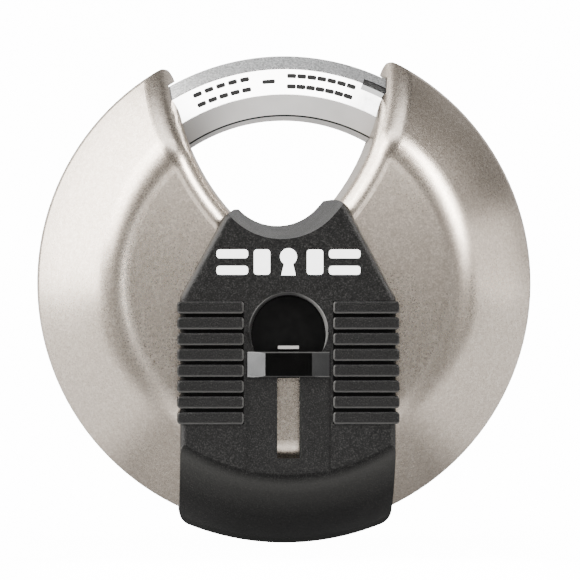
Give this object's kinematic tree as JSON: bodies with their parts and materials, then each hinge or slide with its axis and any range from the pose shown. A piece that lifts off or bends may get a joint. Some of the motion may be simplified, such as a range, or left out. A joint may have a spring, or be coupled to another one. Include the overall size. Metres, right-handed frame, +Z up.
{
  "type": "disc padlock",
  "caption": "Round stainless padlock with a shrouded bar shackle that turns open, a black plastic cover round the keyway and a sliding keyway shutter.",
  "frame": {"origin": "on the axis that the shackle turns about, half way through the thickness of the body", "axes": "+X to the right seen from the front, +Z up with the shackle at the top, the keyway faces -Y"},
  "size_m": [0.08, 0.0346, 0.0787],
  "materials": {
    "stainless": "fine satin grain, pressed sheet",
    "hard_steel": "bright plated flats, matt grainy bevels",
    "steel": "plain steel",
    "cast_zinc": "dull die-cast grey",
    "brass": "machined",
    "black_plastic": "fine moulded texture",
    "gloss_black": "smooth gloss"
  },
  "bodies": {
    "housing": {"front_shell": "stainless", "rear_shell": "stainless", "front_core": "cast_zinc", "rear_core": "cast_zinc", "core_rivets": "steel", "front_cover": "black_plastic", "rear_cover": "black_plastic", "carrier_pivot": "steel", "cylinder_body": "brass", "spring_strip": "brass", "pin_spring_1": "steel", "pin_spring_2": "steel", "pin_spring_3": "steel", "pin_spring_4": "steel", "pin_spring_5": "steel"},
    "shackle": {"shackle": "hard_steel", "shackle_carrier": "steel", "carrier_rivets": "steel"},
    "plug": {"plug": "brass", "plug_clip": "steel", "drive_pinion": "steel"},
    "shutter": {"shutter": "gloss_black", "shutter_grip": "gloss_black"},
    "key_pin_1": {"key_pin_1": "brass"},
    "key_pin_2": {"key_pin_2": "brass"},
    "key_pin_3": {"key_pin_3": "brass"},
    "key_pin_4": {"key_pin_4": "brass"},
    "key_pin_5": {"key_pin_5": "brass"},
    "driver_pin_1": {"driver_pin_1": "brass"},
    "driver_pin_2": {"driver_pin_2": "brass"},
    "driver_pin_3": {"driver_pin_3": "brass"},
    "driver_pin_4": {"driver_pin_4": "brass"},
    "driver_pin_5": {"driver_pin_5": "brass"}
  },
  "joints": [
    {"name": "shackle_swing", "type": "hinge", "parent": "housing", "child": "shackle", "pos_m": [0, 0, 0], "axis": [0, -1, 0], "range_deg": [0, 75]},
    {"name": "plug_turn", "type": "hinge", "parent": "housing", "child": "plug", "pos_m": [0, 0, -0.0068], "axis": [0, -1, 0], "range_deg": [-75, 0]},
    {"name": "shutter_slide", "type": "slide", "parent": "housing", "child": "shutter", "axis": [0, 0, -1], "range_m": [0, 0.0124]},
    {"name": "key_pin_1_lift", "type": "slide", "parent": "plug", "child": "key_pin_1", "axis": [0, 0, 1], "range_m": [0, 0.0012]},
    {"name": "key_pin_2_lift", "type": "slide", "parent": "plug", "child": "key_pin_2", "axis": [0, 0, 1], "range_m": [0, 0.0012]},
    {"name": "key_pin_3_lift", "type": "slide", "parent": "plug", "child": "key_pin_3", "axis": [0, 0, 1], "range_m": [0, 0.0012]},
    {"name": "key_pin_4_lift", "type": "slide", "parent": "plug", "child": "key_pin_4", "axis": [0, 0, 1], "range_m": [0, 0.0012]},
    {"name": "key_pin_5_lift", "type": "slide", "parent": "plug", "child": "key_pin_5", "axis": [0, 0, 1], "range_m": [0, 0.0012]},
    {"name": "driver_pin_1_press", "type": "slide", "parent": "housing", "child": "driver_pin_1", "axis": [0, 0, -1], "range_m": [0, 0.0009], "stiffness_N_per_m": 200, "springref_m": -0.0015, "deforming": ["pin_spring_1"]},
    {"name": "driver_pin_2_press", "type": "slide", "parent": "housing", "child": "driver_pin_2", "axis": [0, 0, -1], "range_m": [0, 0.0009], "stiffness_N_per_m": 200, "springref_m": -0.0015, "deforming": ["pin_spring_2"]},
    {"name": "driver_pin_3_press", "type": "slide", "parent": "housing", "child": "driver_pin_3", "axis": [0, 0, -1], "range_m": [0, 0.0009], "stiffness_N_per_m": 200, "springref_m": -0.0015, "deforming": ["pin_spring_3"]},
    {"name": "driver_pin_4_press", "type": "slide", "parent": "housing", "child": "driver_pin_4", "axis": [0, 0, -1], "range_m": [0, 0.0009], "stiffness_N_per_m": 200, "springref_m": -0.0015, "deforming": ["pin_spring_4"]},
    {"name": "driver_pin_5_press", "type": "slide", "parent": "housing", "child": "driver_pin_5", "axis": [0, 0, -1], "range_m": [0, 0.0009], "stiffness_N_per_m": 200, "springref_m": -0.0015, "deforming": ["pin_spring_5"]}
  ],
  "couplings": [
    {"joint": "plug_turn", "follows": "shackle_swing", "ratio": -1}
  ]
}
